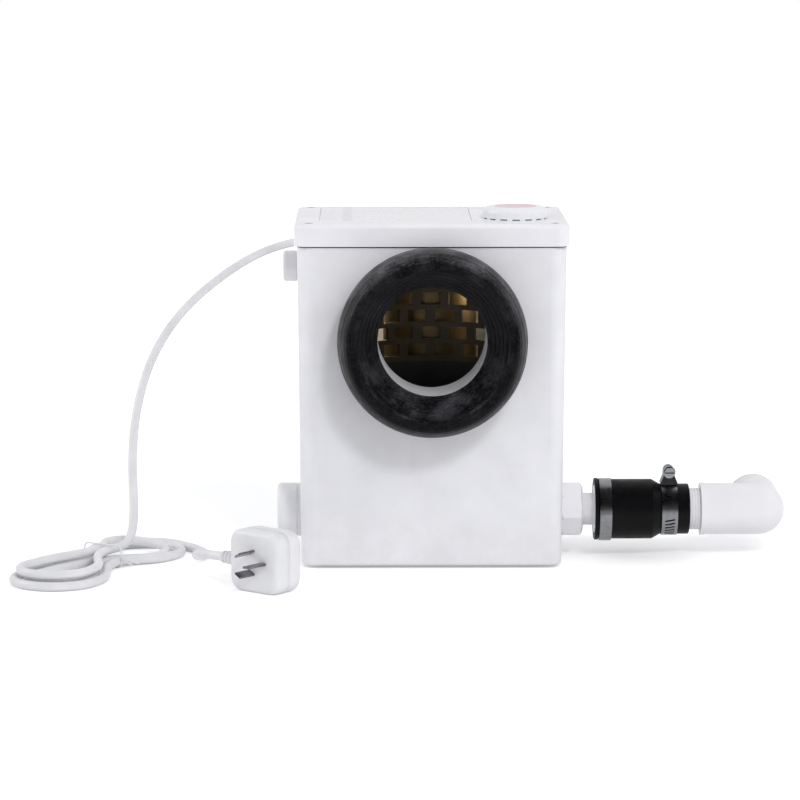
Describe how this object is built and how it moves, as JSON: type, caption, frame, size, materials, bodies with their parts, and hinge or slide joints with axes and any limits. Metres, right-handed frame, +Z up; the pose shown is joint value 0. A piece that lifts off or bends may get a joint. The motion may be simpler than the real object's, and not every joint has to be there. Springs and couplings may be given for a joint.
{
  "type": "macerator toilet pump",
  "caption": "Boxed macerator toilet pump with rubber inlet boot, clamped discharge elbow, side cap, vented lid, pump and cutter inside, and a hanked mains lead.",
  "frame": {"origin": "centre of the casing's footprint, on the floor plane (underside of the rubber mat)", "axes": "+X towards the discharge side, +Y to the rear (the inlet boot faces -Y), +Z up"},
  "size_m": [0.6302, 0.3493, 0.2845],
  "materials": {
    "tank_white": "satin moulded ABS, white",
    "lid_white": "satin moulded ABS, white",
    "panel_white": "satin film, bare",
    "vent_white": "satin moulded ABS, white",
    "vent_red": "gloss red plastic",
    "carbon_felt": "activated carbon felt",
    "fitting_white": "moulded polypropylene, white",
    "cap_grey": "moulded polypropylene, pale grey",
    "black_rubber": "satin moulded black rubber",
    "screen_brown": "moulded brown plastic",
    "black_plastic": "moulded black plastic",
    "grey_plastic": "moulded grey plastic",
    "motor_steel": "zinc plated steel",
    "core_steel": "stacked laminations",
    "copper": "enamelled copper wire",
    "steel": "stainless steel",
    "clamp_steel": "bright stainless strip",
    "bronze": "sintered bronze",
    "capacitor_can": "white plastic can",
    "cord_pvc": "soft white PVC sheath",
    "gland_rubber": "soft white PVC grommet",
    "wire_pvc": "PVC insulated wire",
    "plug_grey": "moulded PVC, pale grey",
    "plug_pins": "nickel plated brass",
    "tie_white": "plastic covered wire"
  },
  "bodies": {
    "tank_body": {"base_mat": "black_rubber", "basket_screen": "screen_brown", "bearings": "steel", "capacitor": "capacitor_can", "chamber_cap": "black_plastic", "cord_drop": "cord_pvc", "cord_gland": "gland_rubber", "cord_hank": "cord_pvc", "cord_lead": "cord_pvc", "cord_tie": "tie_white", "cutter_bowl": "black_plastic", "discharge_tail": "fitting_white", "flap_pin": "steel", "inlet_boot": "black_rubber", "inner_lead": "cord_pvc", "lever_pin": "steel", "lid_seal": "black_rubber", "motor_cover": "motor_steel", "motor_housing": "motor_steel", "platform": "black_plastic", "platform_screws": "steel", "plug_blades": "plug_pins", "plug_body": "plug_grey", "pressure_chamber": "grey_plastic", "pump_bush": "bronze", "pump_screws": "steel", "rubber_sleeve": "black_rubber", "shaft_seal": "black_rubber", "small_band": "clamp_steel", "stator_core": "core_steel", "stator_windings": "copper", "suction_plate": "black_plastic", "switch_body": "black_plastic", "tank": "tank_white", "terminal_block": "grey_plastic", "valve_body": "fitting_white", "volute": "black_plastic", "wires": "wire_pvc", "worm_band": "clamp_steel", "worm_housing": "clamp_steel"},
    "lid_body": {"lid": "lid_white", "lid_screws": "steel", "label_panel": "panel_white", "carbon_pad": "carbon_felt"},
    "vent_body": {"vent_cap": "vent_white", "vent_disc": "vent_red"},
    "side_cap_body": {"side_inlet_cap": "cap_grey"},
    "upper_plug_body": {"upper_side_plug": "fitting_white"},
    "rotor_body": {"motor_shaft": "steel", "rotor_core": "core_steel", "cutter": "steel", "impeller": "black_plastic", "impeller_nut": "steel"},
    "flap_body": {"valve_flap": "black_rubber"},
    "diaphragm_body": {"diaphragm": "black_rubber"},
    "lever_body": {"switch_lever": "steel"},
    "nut_body": {"discharge_nut": "fitting_white"},
    "clamp_screw_body": {"worm_screw": "clamp_steel"},
    "elbow_body": {"discharge_elbow": "fitting_white", "discharge_pipe": "fitting_white"}
  },
  "joints": [
    {"name": "lid_lift", "type": "slide", "parent": "tank_body", "child": "lid_body", "axis": [0, 0, 1], "range_m": [0, 0.12]},
    {"name": "vent_cap_lift", "type": "slide", "parent": "lid_body", "child": "vent_body", "axis": [0, 0, 1], "range_m": [0, 0.02]},
    {"name": "side_cap_pull", "type": "slide", "parent": "tank_body", "child": "side_cap_body", "axis": [-1, 0, 0], "range_m": [0, 0.03]},
    {"name": "upper_plug_pull", "type": "slide", "parent": "tank_body", "child": "upper_plug_body", "axis": [-1, 0, 0], "range_m": [0, 0.02]},
    {"name": "motor_spin", "type": "hinge", "parent": "tank_body", "child": "rotor_body", "pos_m": [0, 0.031, 0.13], "axis": [0, 0, 1], "continuous": true},
    {"name": "flap_swing", "type": "hinge", "parent": "tank_body", "child": "flap_body", "pos_m": [0.0693, -0.018, 0.0515], "axis": [0, -1, 0], "range_deg": [0, 55]},
    {"name": "diaphragm_rise", "type": "slide", "parent": "tank_body", "child": "diaphragm_body", "axis": [0, 0, 1], "range_m": [0, 0.0025], "stiffness_N_per_m": 50},
    {"name": "lever_swing", "type": "hinge", "parent": "tank_body", "child": "lever_body", "pos_m": [-0.055, 0.012, 0.2219], "axis": [0, 1, 0], "range_deg": [0, 10]},
    {"name": "nut_turn", "type": "hinge", "parent": "tank_body", "child": "nut_body", "pos_m": [0.113, -0.018, 0.038], "axis": [1, 0, 0], "continuous": true},
    {"name": "clamp_screw_turn", "type": "hinge", "parent": "tank_body", "child": "clamp_screw_body", "pos_m": [0.19255, -0.024, 0.0691], "axis": [0, -1, 0], "continuous": true},
    {"name": "elbow_turn", "type": "hinge", "parent": "tank_body", "child": "elbow_body", "pos_m": [0.2655, -0.018, 0.038], "axis": [1, 0, 0], "range_deg": [-20, 200]}
  ],
  "couplings": [
    {"joint": "lever_swing", "follows": "diaphragm_rise", "rad_per_m": 66.667}
  ]
}
